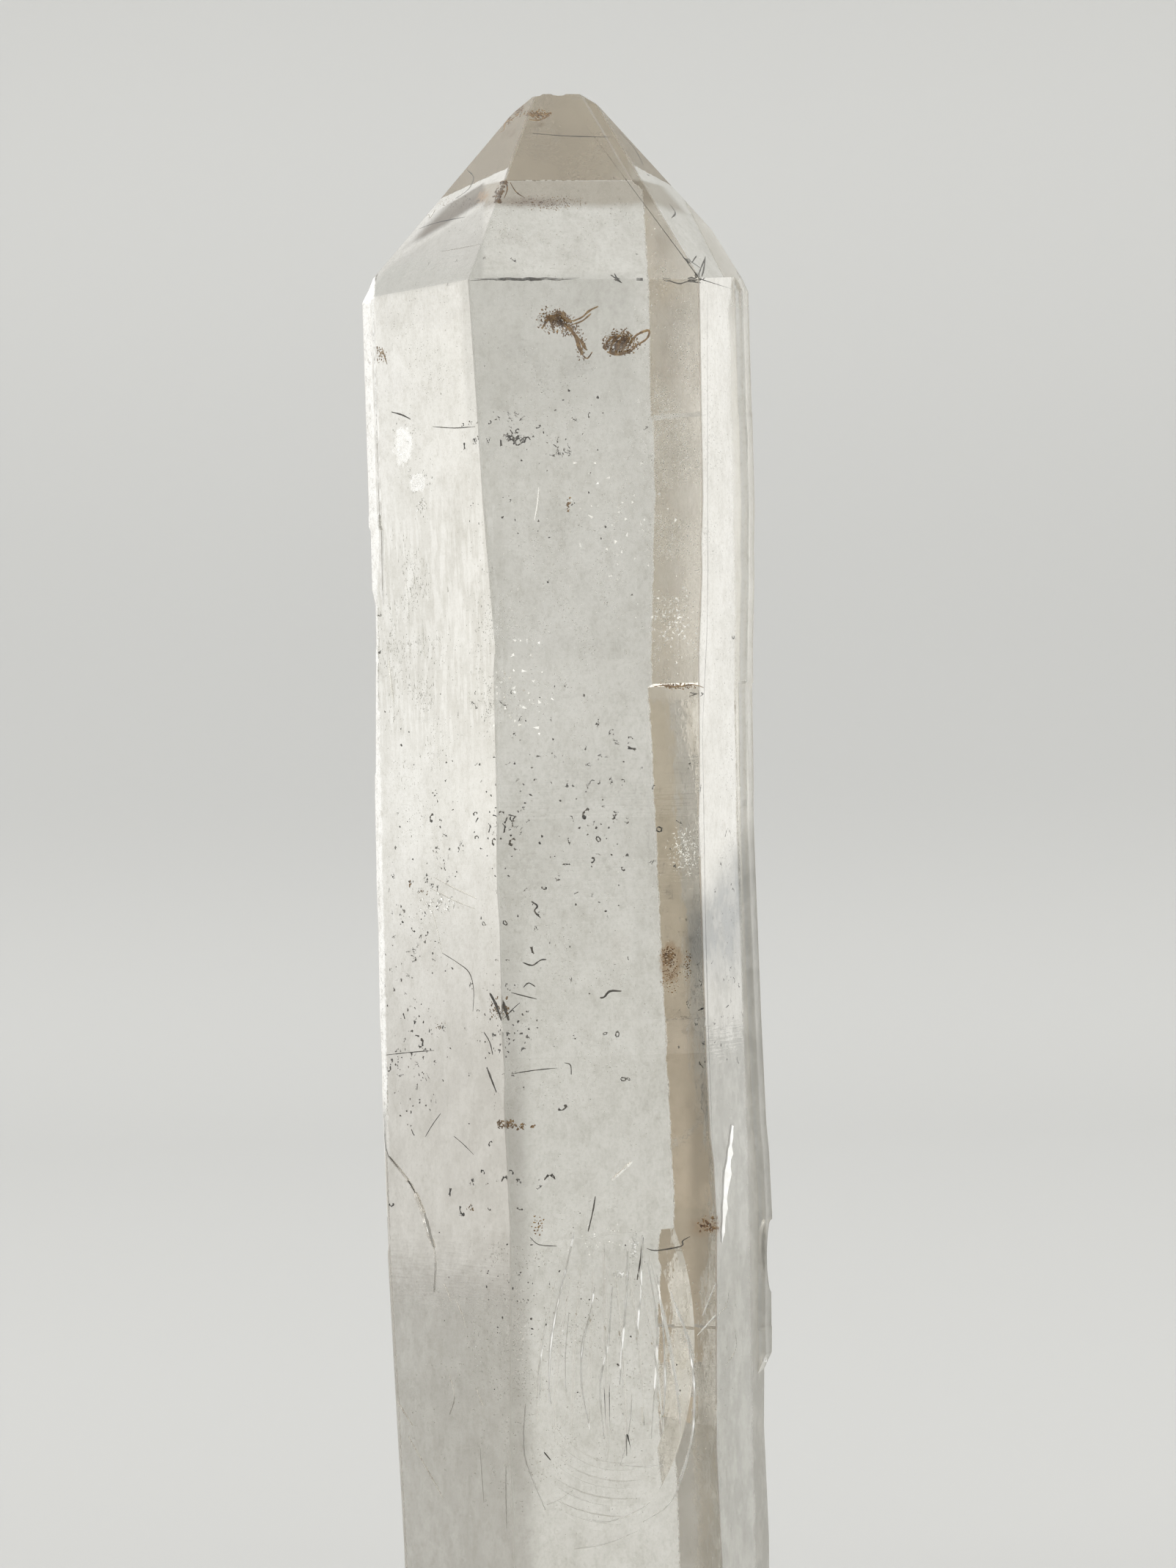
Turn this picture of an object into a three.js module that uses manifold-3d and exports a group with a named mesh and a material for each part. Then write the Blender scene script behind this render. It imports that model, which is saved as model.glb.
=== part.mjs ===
import * as THREE from "three";
import { mergeVertices } from "three/addons/utils/BufferGeometryUtils.js";
import Module from "manifold-3d";

// A clear quartz wand: one natural crystal with six long prism faces under a six-faced point.
// Millimetres, +Z up along the crystal, the base cut flat on z = 0, the broad front face towards -Y.

const wasm = await Module();
wasm.setup();

// Stance and point

const crystalTurn = 8; // degrees: the front face looks a little to the right
const tipSlope = 53; // degrees from level, the same for all six faces of the point
const blankHeight = 152; // the prism before its point is cut
const cutterSize = 160; // wider than anything it has to cut away

// The six prism faces, counter-clockwise from above. bearing is the direction a face looks in,
// tipStart the height at which its face of the point begins, and tipTurn that face's turn off the bearing.
const faces = [
  { name: "front", bearing: -90, tipStart: 128.0, tipTurn: 0 },
  { name: "right", bearing: -30, tipStart: 128.5, tipTurn: -5 },
  { name: "backRight", bearing: 30, tipStart: 134.0, tipTurn: 0 },
  { name: "back", bearing: 90, tipStart: 135.0, tipTurn: 0 },
  { name: "backLeft", bearing: 150, tipStart: 130.0, tipTurn: 0 },
  { name: "left", bearing: 210, tipStart: 128.1, tipTurn: 0 },
];

// How far each face stands from the crystal's axis, at the heights where its lean changes.
const levels = [
  { height: 0, front: 11.4, right: 14.3, backRight: 13.2, back: 11.4, backLeft: 14.8, left: 12.3 },
  { height: 18, front: 11.6, right: 14.6, backRight: 13.4, back: 11.6, backLeft: 15.0, left: 12.5 },
  { height: 28, front: 11.7, right: 14.4, backRight: 13.2, back: 11.7, backLeft: 15.4, left: 12.7 },
  { height: 47, front: 11.8, right: 14.8, backRight: 13.8, back: 11.8, backLeft: 16.6, left: 12.4 },
  { height: 64, front: 11.8, right: 14.4, backRight: 13.4, back: 11.8, backLeft: 16.8, left: 12.8 },
  { height: 84, front: 11.8, right: 14.2, backRight: 12.9, back: 11.8, backLeft: 16.8, left: 12.7 },
  { height: 96, front: 11.8, right: 14.4, backRight: 12.65, back: 11.8, backLeft: 16.5, left: 12.7 },
  { height: 109, front: 11.3, right: 14.9, backRight: 13.1, back: 11.6, backLeft: 16.1, left: 13.1 },
  { height: 128, front: 10.8, right: 14.8, backRight: 13.1, back: 11.4, backLeft: 16.1, left: 13.5 },
];

// Growth steps: above its ledge a face stands back by this much, or forward where it is negative.
// rise is the height over which a ledge climbs: most are soft, a few are crisp.
const growthSteps = [
  { face: "front", height: 61.7, back: 0.12, rise: 3.0 },
  { face: "front", height: 78.5, back: -0.1, rise: 3.5 },
  { face: "left", height: 57.6, back: 0.14, rise: 2.4 },
  { face: "left", height: 73.0, back: -0.14, rise: 3.0 },
  { face: "left", height: 94.6, back: 0.16, rise: 2.6 },
  { face: "right", height: 52.2, back: 0.16, rise: 2.4 },
  { face: "right", height: 81.4, back: -0.14, rise: 3.0 },
  { face: "right", height: 102.8, back: 0.14, rise: 2.6 },
  { face: "backRight", height: 36.5, back: 0.2, rise: 0.3 },
  { face: "backRight", height: 93.4, back: -0.34, rise: 0.25 },
  { face: "backRight", height: 117.0, back: 0.2, rise: 0.4 },
  { face: "back", height: 30.0, back: 0.16, rise: 3.0 },
  { face: "back", height: 88.0, back: -0.14, rise: 3.5 },
  { face: "backLeft", height: 43.8, back: 0.2, rise: 0.4 },
  { face: "backLeft", height: 86.0, back: 0.18, rise: 0.3 },
  { face: "backLeft", height: 107.6, back: -0.24, rise: 0.4 },
];

// Slim ribs of parallel growth along two corners: how far each stands proud, and where it runs.
const ribs = [
  { from: "right", to: "backRight", outward: 0, proud: 0.66, apothem: 1.5, bottom: 33, top: 129.4 },
  { from: "backLeft", to: "left", outward: 180, proud: 0.3, apothem: 1.2, bottom: 101, top: 128.9 },
];
const ribFade = 1.4; // height over which a rib's ends slope into the crystal

// Bites that knocks have taken out: each is a hollow with the half-widths across, through and up.
const chipDetail = 2;
const tipChips = [
  { at: [-1.6, 2.9, 147.3], half: [1.6, 2.4, 1.4], lean: 0 },
  { at: [0.7, 2.9, 147.2], half: [1.3, 2.1, 1.2], lean: -4 },
  { at: [-3.95, 3.9, 145.2], half: [1.2, 1.9, 0.9], lean: 48 },
  { at: [-5.0, 4.0, 144.1], half: [0.9, 1.6, 0.8], lean: 50 },
  { at: [3.6, 2.4, 146.6], half: [1.6, 2.2, 0.8], lean: -34 },
];
const rimChips = [
  { at: [-8.3, -12.1, -0.4], half: [3.4, 1.6, 2.6], lean: 8 },
  { at: [1.6, -12.3, -0.9], half: [2.6, 1.5, 2.0], lean: 0 },
  { at: [11.6, -9.8, -0.5], half: [2.4, 2.2, 3.0], lean: -12 },
  { at: [16.2, -0.6, -0.6], half: [1.7, 3.0, 2.4], lean: -10 },
  { at: [8.8, 11.6, -0.7], half: [3.0, 2.2, 3.2], lean: 0 },
  { at: [-4.6, 12.3, -0.8], half: [3.6, 1.7, 2.4], lean: 6 },
  { at: [-11.9, 10.6, -0.4], half: [2.4, 2.4, 3.4], lean: 14 },
  { at: [-16.9, 1.9, -0.7], half: [1.9, 2.6, 2.8], lean: 10 },
];
const sideChips = [
  { at: [-17.6, 2.9, 97.5], half: [0.9, 1.1, 4.2], lean: 2 },
  { at: [-17.8, 3.2, 66.0], half: [0.8, 1.0, 2.6], lean: -4 },
  { at: [16.7, -1.2, 43.0], half: [1.2, 1.3, 3.4], lean: 3 },
  { at: [9.4, 12.5, 74.0], half: [1.3, 1.2, 3.8], lean: -3 },
  { at: [-12.8, 12.4, 58.0], half: [1.2, 1.4, 5.2], lean: 2 },
  { at: [-8.9, -12.3, 41.0], half: [1.1, 0.9, 2.4], lean: 4 },
  { at: [10.7, -12.6, 30.2], half: [1.2, 1.2, 3.4], lean: 7 },
];

// Pits in the faces: the middle half-width is the depth.
const pits = [
  { at: [-2.1, -10.85, 124.4], half: [1.4, 0.5, 0.8], lean: -16 },
  { at: [3.6, -10.9, 122.6], half: [1.3, 0.5, 0.9], lean: -8 },
];

// The large fracture scar low on the front face: an oval dish, cut off level at its top.
const scar = { across: 0.6, height: 35.8, halfWidth: 7.5, halfHeight: 15.4, depth: 1.0 };
const scarTop = { height: 46.4, lean: 4 };
const scarBallDepth = 6; // half-width, through the face, of the ball that sinks the dish
const scarSides = 56;

// Ribs left standing in the scar: they rise close together at its top and fan out downwards.
const hackle = { count: 9, topSpread: 3.8, bottomSpread: 6.2, start: 45.6, end: 29.0, width: 0.6 };
const hackleRise = 0.42; // how far a rib stands out of the dish
const hackleStagger = 1.6; // by how much alternate ribs start lower, and the outer ones end higher
const hackleLengths = 3; // the ribs end at this many heights in turn, a millimetre apart
const hackleSteps = 9;

// Ripples across the bottom of the scar: the lower parts of rings round a point above them.
const ripples = { count: 4, across: 1.9, height: 33.5, firstRadius: 7.0, spacing: 1.5, thickness: 0.55 };
const rippleRise = 0.2;
const rippleTop = 30.5; // no ripple shows above this height
const rippleSides = { round: 6, along: 48 };

const clearQuartz = new THREE.MeshStandardMaterial({
  color: 0xe9e6df,
  roughness: 0.06,
  metalness: 0,
  transparent: true,
  opacity: 0.45,
});

const radians = THREE.MathUtils.degToRad;
const cornerTurn = 180 / faces.length; // degrees from a face's bearing to its corner
const noLean = 0;

function direction(bearing) {
  return new THREE.Vector2(Math.cos(radians(bearing)), Math.sin(radians(bearing)));
}

function faceNamed(name) {
  return faces.find((face) => face.name === name);
}

// The distance of a face from the axis at a height, with the growth steps below it counted in.
function offsetAt(face, height) {
  const above = levels.find((level) => level.height >= height) ?? levels.at(-1);
  const below = levels.findLast((level) => level.height <= height) ?? levels[0];
  const span = above.height - below.height;
  const share = span > 0 ? (height - below.height) / span : 0;
  const plain = THREE.MathUtils.lerp(below[face.name], above[face.name], share);
  const steps = growthSteps.filter((step) => step.face === face.name);
  const climbed = (step) => THREE.MathUtils.clamp((height - step.height) / step.rise, 0, 1);
  return steps.reduce((offset, step) => offset - step.back * climbed(step), plain);
}

// The corner where two faces meet at a height.
function cornerAt(faceA, faceB, height) {
  const a = direction(faceA.bearing);
  const b = direction(faceB.bearing);
  const offsetA = offsetAt(faceA, height);
  const offsetB = offsetAt(faceB, height);
  const cross = a.x * b.y - a.y * b.x;
  const x = (offsetA * b.y - offsetB * a.y) / cross;
  const y = (offsetB * a.x - offsetA * b.x) / cross;
  return new THREE.Vector3(x, y, height);
}

function ringHeights(bottom, top) {
  const ledges = growthSteps.flatMap((step) => [step.height, step.height + step.rise]);
  const all = [bottom, ...levels.map((level) => level.height), ...ledges, top];
  const inside = all.filter((height) => height >= bottom && height <= top);
  return [...new Set(inside)].sort((a, b) => a - b);
}

// A closed skin over rings of corners, all with the same number of corners, counter-clockwise.
function loft(rings) {
  const sides = rings[0].length;
  const positions = rings.flat().flatMap((point) => point.toArray());
  const triangles = [];
  const lastRing = (rings.length - 1) * sides;
  for (let start = 0; start < lastRing; start += sides) {
    for (let side = 0; side < sides; side += 1) {
      const next = (side + 1) % sides;
      const [a, b] = [start + side, start + next];
      triangles.push(a, b, b + sides, a, b + sides, a + sides);
    }
  }
  for (let side = 1; side < sides - 1; side += 1) {
    triangles.push(0, side + 1, side);
    triangles.push(lastRing, lastRing + side, lastRing + side + 1);
  }
  const geometry = new THREE.BufferGeometry();
  geometry.setAttribute("position", new THREE.Float32BufferAttribute(positions, 3));
  geometry.setIndex(triangles);
  return geometry;
}

function solidFrom(geometry) {
  const bare = geometry.clone();
  bare.deleteAttribute("normal");
  bare.deleteAttribute("uv");
  const merged = mergeVertices(bare);
  const vertProperties = new Float32Array(merged.attributes.position.array);
  const triVerts = new Uint32Array(merged.index.array);
  return new wasm.Manifold(new wasm.Mesh({ numProp: 3, vertProperties, triVerts }));
}

function geometryFrom(solid) {
  const mesh = solid.getMesh();
  const geometry = new THREE.BufferGeometry();
  geometry.setAttribute("position", new THREE.BufferAttribute(new Float32Array(mesh.vertProperties), 3));
  geometry.setIndex(new THREE.BufferAttribute(new Uint32Array(mesh.triVerts), 1));
  return geometry;
}

function addAll(solid, others) {
  return others.reduce((whole, other) => whole.add(other), solid);
}

function cutAll(solid, cutters) {
  return cutters.reduce((whole, cutter) => whole.subtract(cutter), solid);
}

// The six-sided column that the prism faces enclose.
function prism() {
  const rings = ringHeights(0, blankHeight).map((height) =>
    faces.map((face, index) => cornerAt(face, faces[(index + 1) % faces.length], height)),
  );
  return solidFrom(loft(rings));
}

// A slim crystal grown into one corner, in line with the large one.
function rib(shape) {
  const reach = shape.apothem / Math.cos(Math.PI / faces.length);
  const outward = direction(shape.outward);
  const fade = (height) => Math.min(height - shape.bottom, shape.top - height) / ribFade;
  const heights = [...ringHeights(shape.bottom, shape.top), shape.bottom + ribFade, shape.top - ribFade];
  const rings = heights
    .sort((a, b) => a - b)
    .map((height) => {
      const corner = cornerAt(faceNamed(shape.from), faceNamed(shape.to), height);
      const stand = shape.proud * Math.min(1, fade(height)) - reach;
      const centre = new THREE.Vector2(corner.x, corner.y).addScaledVector(outward, stand);
      return faces.map((face) => {
        const spoke = direction(face.bearing + cornerTurn).multiplyScalar(reach).add(centre);
        return new THREE.Vector3(spoke.x, spoke.y, height);
      });
    });
  return solidFrom(loft(rings));
}

// A block that lies on one face of the point and takes away what is above it.
function tipCutter(face) {
  const outward = direction(face.bearing + face.tipTurn);
  const slope = radians(tipSlope);
  const edge = outward.clone().multiplyScalar(offsetAt(face, blankHeight));
  const normal = new THREE.Vector3(outward.x, outward.y, 1 / Math.tan(slope)).normalize();
  const centre = new THREE.Vector3(edge.x, edge.y, face.tipStart);
  centre.addScaledVector(normal, cutterSize / 2);
  const turn = new THREE.Quaternion().setFromUnitVectors(new THREE.Vector3(0, 0, 1), normal);
  const block = new THREE.BoxGeometry(cutterSize, cutterSize, cutterSize);
  const unit = new THREE.Vector3(1, 1, 1);
  return solidFrom(block.applyMatrix4(new THREE.Matrix4().compose(centre, turn, unit)));
}

// A rounded bite with flat facets, leaning by some degrees in the plane of the front face.
function bite(chip) {
  const ball = new THREE.IcosahedronGeometry(1, chipDetail);
  const turn = new THREE.Quaternion().setFromAxisAngle(new THREE.Vector3(0, 1, 0), radians(-chip.lean));
  const place = new THREE.Vector3(...chip.at);
  const size = new THREE.Vector3(...chip.half);
  return solidFrom(ball.applyMatrix4(new THREE.Matrix4().compose(place, turn, size)));
}

// How deep the scar's dish lies behind the front face at a point across and up the face.
function scarDepthAt(x, z) {
  const share = scarBallShare();
  const across = ((x - scar.across) / scar.halfWidth) * share;
  const up = ((z - scar.height) / scar.halfHeight) * share;
  const inside = Math.max(0, 1 - across * across - up * up);
  return scarBallDepth * Math.sqrt(inside) - (scarBallDepth - scar.depth);
}

// The part of the ball's own half-width at which the front face slices it.
function scarBallShare() {
  return Math.sqrt(1 - (1 - scar.depth / scarBallDepth) ** 2);
}

function scarBall() {
  const share = scarBallShare();
  const ball = new THREE.SphereGeometry(1, scarSides, scarSides / 2);
  ball.scale(scar.halfWidth / share, scarBallDepth, scar.halfHeight / share);
  ball.rotateY(Math.PI / scarSides);
  const sunk = -offsetAt(faceNamed("front"), scar.height) - scarBallDepth + scar.depth;
  ball.translate(scar.across, sunk, scar.height);
  return solidFrom(ball);
}

// A block whose underside is at a height, leaning by some degrees.
function blockAbove(height, lean) {
  const block = new THREE.BoxGeometry(cutterSize, cutterSize, cutterSize);
  block.translate(0, 0, cutterSize / 2);
  block.rotateY(radians(-lean));
  block.translate(scar.across, 0, height);
  return solidFrom(block);
}

// One rib of the fan: index 0 is the leftmost.
function hackleRib(index) {
  const side = (2 * index) / (hackle.count - 1) - 1;
  const start = hackle.start - (index % 2) * hackleStagger - Math.abs(side);
  const end = hackle.end + Math.abs(side) * hackleStagger - (index % hackleLengths);
  const front = -offsetAt(faceNamed("front"), scar.height);
  const points = [];
  for (let step = 0; step <= hackleSteps; step += 1) {
    const down = step / hackleSteps;
    const opened = Math.sin((down * Math.PI) / 2);
    const spread = THREE.MathUtils.lerp(hackle.topSpread, hackle.bottomSpread, opened);
    const x = scar.across + side * spread;
    const z = THREE.MathUtils.lerp(start, end, down);
    points.push(new THREE.Vector3(x, front + scarDepthAt(x, z), z));
  }
  const rings = points.map((point, step) => {
    const fade = Math.sin((Math.PI * (step + 0.5)) / (hackleSteps + 1));
    const halfWidth = (hackle.width / 2) * fade;
    const rise = hackleRise * fade;
    return [
      new THREE.Vector3(point.x - halfWidth, point.y + rise, point.z),
      new THREE.Vector3(point.x, point.y - rise, point.z),
      new THREE.Vector3(point.x + halfWidth, point.y + rise, point.z),
    ];
  });
  return solidFrom(loft(rings.reverse()));
}

function rippleRing(index) {
  const radius = ripples.firstRadius + index * ripples.spacing;
  const ring = new THREE.TorusGeometry(radius, ripples.thickness, rippleSides.round, rippleSides.along);
  ring.rotateX(Math.PI / 2);
  const front = -offsetAt(faceNamed("front"), scar.height);
  const lowest = scarDepthAt(ripples.across, ripples.height - radius);
  ring.translate(ripples.across, front + lowest + ripples.thickness - rippleRise, ripples.height);
  return solidFrom(ring).subtract(blockAbove(rippleTop, noLean));
}

function scarCutter() {
  const fan = Array.from({ length: hackle.count }, (_, index) => hackleRib(index));
  const waves = Array.from({ length: ripples.count }, (_, index) => rippleRing(index));
  return cutAll(scarBall(), [blockAbove(scarTop.height, scarTop.lean), ...fan, ...waves]);
}

function quartzWand() {
  const column = addAll(prism(), ribs.map(rib));
  const pointed = cutAll(column, faces.map(tipCutter));
  const bites = [...tipChips, ...rimChips, ...sideChips, ...pits].map(bite);
  const finished = cutAll(pointed, [...bites, scarCutter()]);
  const geometry = geometryFrom(finished).rotateZ(radians(crystalTurn)).toNonIndexed();
  geometry.computeVertexNormals();
  const mesh = new THREE.Mesh(geometry, clearQuartz);
  mesh.name = "quartz_wand";
  return mesh;
}

// The middle of the crystal's own box stands over the origin.
function centredOverOrigin(mesh) {
  const box = new THREE.Box3().setFromObject(mesh);
  const middle = box.getCenter(new THREE.Vector3());
  mesh.position.set(-middle.x, -middle.y, -box.min.z);
  return mesh;
}

const group = new THREE.Group();
group.add(centredOverOrigin(quartzWand()));

export default group;
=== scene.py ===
import math
import random

import bmesh
import bpy
from mathutils import Matrix, Vector, noise
from mathutils.bvhtree import BVHTree


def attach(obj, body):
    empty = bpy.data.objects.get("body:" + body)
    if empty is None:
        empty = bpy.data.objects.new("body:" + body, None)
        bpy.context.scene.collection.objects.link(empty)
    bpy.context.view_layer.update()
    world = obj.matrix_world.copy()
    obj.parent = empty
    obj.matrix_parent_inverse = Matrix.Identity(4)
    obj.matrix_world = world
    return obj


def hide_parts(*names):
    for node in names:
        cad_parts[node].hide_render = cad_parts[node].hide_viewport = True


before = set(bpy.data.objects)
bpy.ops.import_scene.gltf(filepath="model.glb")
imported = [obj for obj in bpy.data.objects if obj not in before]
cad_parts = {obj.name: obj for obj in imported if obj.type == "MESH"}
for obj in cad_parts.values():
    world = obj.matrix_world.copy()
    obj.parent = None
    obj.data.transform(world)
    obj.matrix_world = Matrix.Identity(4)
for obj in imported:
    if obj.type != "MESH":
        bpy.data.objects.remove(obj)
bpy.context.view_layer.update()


# The camera: a long lens a little above the middle of the wand, looking level at its broad front
# face and tilted a touch, so that the crystal leans a little to the left in the picture.
picture_size = (1604, 2139)
camera_place = Vector((0.00177, -0.3615, 0.0849))
camera_tilt = math.radians(-1.23)
lens_mm = 94.25
sensor_mm = 36.0

camera_data = bpy.data.cameras.new("long_lens")
camera_data.lens = lens_mm
camera_data.sensor_width = sensor_mm
camera_data.clip_start = 0.01
camera_data.clip_end = 50.0
camera = bpy.data.objects.new("camera", camera_data)
bpy.context.scene.collection.objects.link(camera)
camera.location = camera_place
camera.rotation_euler = (math.radians(90.0), 0.0, 0.0)
camera.rotation_euler.rotate_axis("Z", camera_tilt)
bpy.context.scene.camera = camera


# The crystal: one point of clear quartz with six long faces, soft growth ledges, a chipped tip
# and a shell-shaped scar. Its faces are glassy as they grew, but for a frosted one at the back and
# a film of clay under the point. The corners are worn, and the sawn base is rough.
mm = 0.001
same_place = 0.002 * mm
flat_within = math.radians(0.25)
corner_angles = (math.radians(24.0), math.radians(100.0))
shortest_corner = 1.3 * mm
steep_share = 0.4
nearly_met = 0.25 * mm
shoulder_front = -5.0 * mm
shoulder_height = 127.0 * mm
corner_width = 0.12 * mm
corner_facets = 2
bruised_left_of = -13.0 * mm
bruised_above = 52.0 * mm
base_height = 0.1 * mm
facing_down = -0.9
relief_depth = 0.06 * mm
marks_depth = 0.05 * mm
quartz_ior = 1.544
quartz_tint = (0.83, 0.77, 0.66, 1.0)
quartz_tint_density = 9.0

# Compass bearings on the crystal: which way its faces and one corner point, and which way left,
# right and the near side lie in the picture. The crystal stands turned by a few degrees.
crystal_turn = 8.0
front_face, left_face, right_face, back_right_face = -90.0, 210.0, -30.0, 30.0
right_corner = 0.0
picture_left, picture_right, picture_near = 172.0, -8.0, -98.0

# The colours that the films, the stains and the crushed spots give its faces, and the greys of painted
# shade.
clear_film, grey_film = (1.0, 0.995, 0.965, 1.0), (0.62, 0.605, 0.545, 1.0)
low_left_painted_shade, low_right_painted_shade = (0.44, 0.42, 0.385, 1.0), (0.45, 0.445, 0.415, 1.0)
upper_painted_shade, cold_painted_shade = (0.52, 0.515, 0.48, 1.0), (0.25, 0.265, 0.275, 1.0)
thin_clay, thick_clay = (0.40, 0.347, 0.27, 1.0), (0.15, 0.13, 0.10, 1.0)
dark_clay, umber = (0.085, 0.066, 0.048, 1.0), (0.14, 0.09, 0.06, 1.0)
ochre_stain, brown_stain = (0.46, 0.29, 0.15, 1.0), (0.34, 0.19, 0.09, 1.0)
crushed_pale, crushed_white = (0.82, 0.81, 0.78, 1.0), (0.98, 0.98, 0.97, 1.0)


class Wire:
    """The output of a shader node. Arithmetic on it adds Math nodes to the same material."""

    def __init__(self, tree, socket=None):
        self.tree = tree
        self.socket = socket

    def node(self, kind, settings=None, inputs=None, output=0):
        """A node of a kind: its settings are set first, then its sockets' values or links."""
        made = self.tree.nodes.new("ShaderNode" + kind)
        for name, value in (settings or {}).items():
            if name == "stops":
                ramp = made.color_ramp.elements
                while len(ramp) < len(value):
                    ramp.new(1.0)
                for stop, (place, colour) in zip(ramp, value):
                    stop.position = place
                    stop.color = (*colour, 1.0)
            else:
                setattr(made, name, value)
        for name, value in (inputs or {}).items():
            if isinstance(value, Wire):
                self.tree.links.new(value.socket, made.inputs[name])
            else:
                made.inputs[name].default_value = value
        return Wire(self.tree, made.outputs[output] if made.outputs else None)

    def maths(self, operation, first, second=0.0):
        return self.node("Math", {"operation": operation}, {0: first, 1: second})

    def __add__(self, other):
        return self.maths("ADD", self, other)

    def __sub__(self, other):
        return self.maths("SUBTRACT", self, other)

    def __rsub__(self, other):
        return self.maths("SUBTRACT", other, self)

    def __mul__(self, other):
        return self.maths("MULTIPLY", self, other)

    __radd__ = __add__
    __rmul__ = __mul__

    def at_least(self, other):
        return self.maths("MAXIMUM", self, other)

    def step(self, low, high):
        """0 at low, 1 at high and a soft change between them; low may be the larger one."""
        settings = {"interpolation_type": "SMOOTHSTEP"}
        return self.node("MapRange", settings, {0: self, 1: low, 2: high})

    def mixed(self, first, second):
        """A colour between two others, with this as the share of the second."""
        sockets = {0: self, 6: first, 7: second}
        return self.node("Mix", {"data_type": "RGBA"}, sockets, 2)

    def blend(self, other, share):
        """This value where share is 0 and the other one where it is 1."""
        return self * (1 - share) + other * share

    def vector(self, operation, second=(0.0, 0.0, 0.0)):
        output = 1 if operation in ("LENGTH", "DOT_PRODUCT") else 0
        settings = {"operation": operation}
        return self.node("VectorMath", settings, {0: self, 1: second}, output)

    def axis(self, number):
        """One part of a place or a direction: 0 is x, 1 is y and 2 is z."""
        return self.node("SeparateXYZ", {}, {0: self}, number)

    def principled(self, sockets):
        """Ends a material with one Principled shader that has these sockets."""
        self.node("OutputMaterial", {}, {"Surface": self.node("BsdfPrincipled", {}, sockets)})

    def noise(self, size, detail=2.0, roughness=0.5):
        """Cloudy values around 0.5, with a grain of this size in millimetres along each axis."""
        sockets = {"Vector": self.vector("DIVIDE", size), "Scale": 1.0}
        return self.node("TexNoise", {}, sockets | {"Detail": detail, "Roughness": roughness})

    def toward(self, bearing):
        """How far a place lies from the axis in a compass direction, in millimetres."""
        turned = math.radians(bearing + crystal_turn)
        return self.vector("DOT_PRODUCT", (math.cos(turned), math.sin(turned), 0.0))

    def patch(self, middle, half, blur, ragged=0.5):
        """1 in a ragged spot around middle, 0 outside it, in millimetres."""
        away = self.vector("SUBTRACT", middle).vector("DIVIDE", half).vector("LENGTH")
        ruffle = self.noise((0.45, 0.45, 0.45), 4.0, 0.65) - 0.5
        return (away + ruffle * (2.0 * ragged)).step(1.0, 1.0 - blur)


def new_material(name):
    """An empty material and the place on the piece in millimetres, to build its nodes on."""
    material = bpy.data.materials.new(name)
    material.use_nodes = True
    material.node_tree.nodes.clear()
    place = Wire(material.node_tree).node("TexCoord", output="Object")
    return material, place.vector("MULTIPLY", (1000.0, 1000.0, 1000.0))


def tip_parts(place, height, wavy):
    """The near side of the point, its left part, and a height that runs along its left slope."""
    leftward = place.toward(picture_left)
    near_side = place.toward(picture_near).step(-2.0, 0.0)
    left_part = leftward.step(5.9, 6.5)
    slant = height + (leftward.at_least(4.6) - 4.6) * 0.47 + wavy * 0.15
    return near_side, left_part, slant


def with_painted_shade(colour, place, height, wavy, tip, right_rib):
    """Paints shade into a clear colour low on both side faces, at the top of the front and left of the
    point.
    """
    near_side, left_part, slant = tip
    patchy = place.noise((2.2, 2.2, 3.0), 3.0, 0.65).step(0.40, 0.58)
    left_shade_mask = place.toward(left_face).step(10.0, 12.0) * (height + wavy).step(84.0, 56.0)
    sloping = height - place.toward(right_corner) * 0.9 + wavy
    right_shade_mask = place.toward(right_face).step(12.5, 13.6) * sloping.step(68.5, 63.0)
    colour = (left_shade_mask * (0.85 + patchy * 0.15)).mixed(colour, low_left_painted_shade)
    colour = (right_shade_mask * (0.7 + patchy * 0.3)).mixed(colour, low_right_painted_shade)
    cold_shade_mask = right_shade_mask * height.step(66.0, 71.0) * (0.65 + patchy * 0.35)
    colour = (cold_shade_mask * (1 - right_rib * 0.8)).mixed(colour, cold_painted_shade)
    tip_shade_mask = left_part * near_side * height.step(127.6, 128.4) * slant.step(136.6, 135.6)
    front_shade_mask = place.toward(front_face).step(9.3, 10.1) * place.toward(picture_right).step(7.5, 5.5)
    front_shade_mask = front_shade_mask * (height + wavy).step(108.0, 122.0) * height.step(129.0, 128.0)
    return (tip_shade_mask * 0.85).at_least(front_shade_mask * 0.55).mixed(colour, upper_painted_shade)


def with_tip_clay(colour, place, height, wavy, tip):
    """Lays a film of clay under the point, thicker at its left, with a dark band and a smear."""
    near_side, left_part, slant = tip
    foot = (height + wavy * 0.35).step(134.5, 135.6).blend(slant.step(136.3, 137.0), left_part)
    top = height.step(137.7, 137.42).blend(slant.step(138.75, 138.4), left_part)
    colour = (near_side * foot * top).mixed(colour, left_part.mixed(thin_clay, thick_clay))
    band = slant.step(136.2, 137.0) * slant.step(138.3, 137.3) * left_part * near_side
    band = band * place.toward(picture_left).step(12.8, 11.4) * 0.9
    smear = place.patch((-2.5, -4.9, 135.4), (5.8, 2.6, 0.8), 1.0, 0.45)
    return smear.mixed(band.mixed(colour, dark_clay), umber)


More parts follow.
